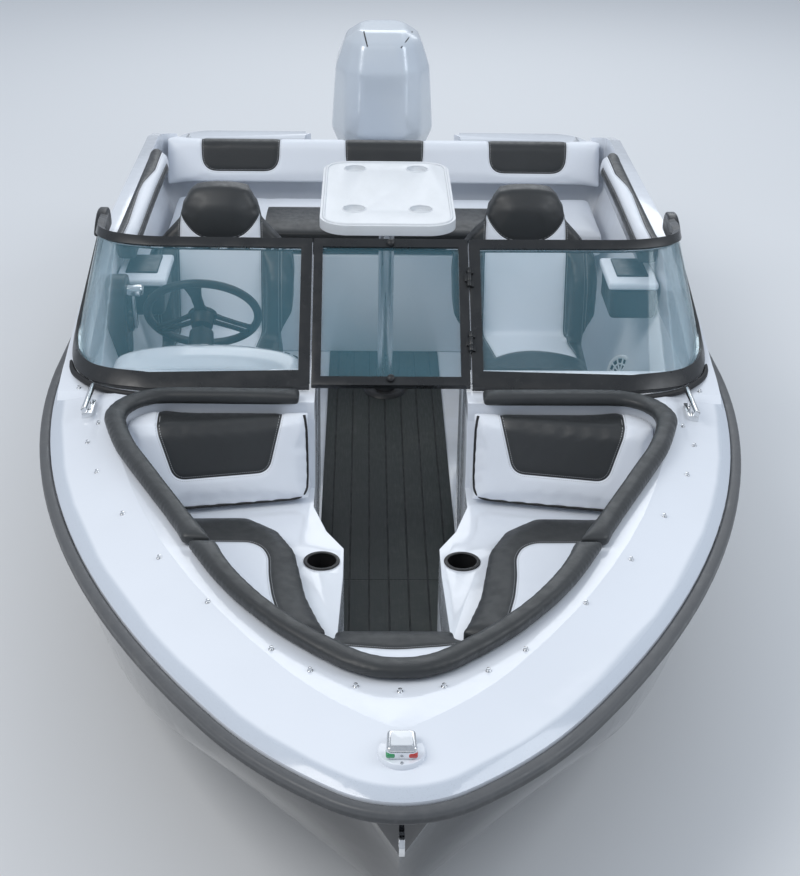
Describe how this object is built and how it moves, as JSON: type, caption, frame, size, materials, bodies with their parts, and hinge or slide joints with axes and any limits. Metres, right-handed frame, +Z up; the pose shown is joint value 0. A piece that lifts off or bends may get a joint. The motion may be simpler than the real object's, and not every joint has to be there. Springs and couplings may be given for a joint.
{
  "type": "speedboat",
  "caption": "Open-bow speedboat with walk-through windshield, helm, bucket seats, stern bench, table and a tilting, steering outboard engine.",
  "frame": {"origin": "on the centreline at the waterline, midway between the stem and the transom", "axes": "-Y towards the bow, +Y towards the stern, +X to port, +Z up"},
  "size_m": [2.15, 5.68, 1.727],
  "materials": {
    "hull_black": "glossy black gelcoat",
    "gelcoat_white": "glossy moulded gelcoat",
    "rail_charcoal": "satin two-tone extrusion",
    "plank_mat": "black plank-patterned foam mat",
    "vinyl_white": "white marine vinyl with charcoal panels",
    "vinyl_charcoal": "charcoal marine vinyl",
    "black_frame": "black anodised extrusion",
    "clear_glass": "pale blue safety glass",
    "black_plastic": "black grained plastic",
    "table_white": "white moulded table",
    "aluminium": "satin anodised tube",
    "stainless": "polished stainless steel",
    "engine_white": "pearl white paint",
    "engine_dark": "grey painted casting",
    "engine_iron": "plain block for the power head",
    "prop_metal": "brushed stainless steel"
  },
  "bodies": {
    "boat": {"hull": "hull_black", "cockpit_liner": "gelcoat_white", "deck": "gelcoat_white", "bow_seat_base": "gelcoat_white", "helm_console": "gelcoat_white", "port_console": "gelcoat_white", "bench_base": "gelcoat_white", "seat_pedestals": "gelcoat_white", "rub_rail": "rail_charcoal", "floor_mat": "plank_mat", "bow_backrest_port": "vinyl_white", "bow_backrest_starboard": "vinyl_white", "bow_cushion_port": "vinyl_white", "bow_cushion_starboard": "vinyl_white", "bow_cushion_front": "vinyl_white", "seat_helm": "vinyl_white", "seat_port": "vinyl_white", "bench_cushions": "vinyl_white", "bench_backrest": "vinyl_white", "bolster_front": "vinyl_charcoal", "bolster_port": "vinyl_charcoal", "bolster_starboard": "vinyl_charcoal", "side_pads": "vinyl_charcoal", "windshield_frame_port": "black_frame", "windshield_frame_starboard": "black_frame", "windshield_glass_port": "clear_glass", "windshield_glass_starboard": "clear_glass", "cup_rims": "black_plastic", "throttle_control": "black_plastic", "table_top": "table_white", "table_post": "aluminium", "cleats": "stainless", "bow_light": "stainless", "bow_eye": "stainless", "stern_eyes": "stainless", "clamp_brackets": "engine_dark"},
    "windshield_door": {"windshield_door": "black_frame", "door_glass": "clear_glass"},
    "steering_wheel": {"steering_wheel": "black_plastic"},
    "tilt_bracket": {"swivel_bracket": "engine_dark"},
    "engine": {"midsection": "engine_white", "gearcase": "engine_white", "cowl": "engine_white", "engine_block": "engine_iron"},
    "propeller": {"propeller": "prop_metal"}
  },
  "joints": [
    {"name": "windshield_door_hinge", "type": "hinge", "parent": "boat", "child": "windshield_door", "pos_m": [0.247, -0.66041, 0.72669], "axis": [0, 0.7844, 0.6203], "range_deg": [0, 172]},
    {"name": "engine_tilt", "type": "hinge", "parent": "boat", "child": "tilt_bracket", "pos_m": [0, 2.575, 0.38], "axis": [1, 0, 0], "range_deg": [-4, 65]},
    {"name": "engine_steer", "type": "hinge", "parent": "tilt_bracket", "child": "engine", "pos_m": [0, 2.7, 0.25], "axis": [0, 0, 1], "range_deg": [-30, 30]},
    {"name": "propeller_spin", "type": "hinge", "parent": "engine", "child": "propeller", "pos_m": [0, 3.04, -0.47], "axis": [0, 1, 0], "continuous": true},
    {"name": "steering_wheel_turn", "type": "hinge", "parent": "boat", "child": "steering_wheel", "pos_m": [-0.631, -0.03, 0.702], "axis": [0, 0.8131, 0.5821], "range_deg": [-540, 540]}
  ],
  "couplings": [
    {"joint": "steering_wheel_turn", "follows": "engine_steer", "ratio": -18}
  ]
}
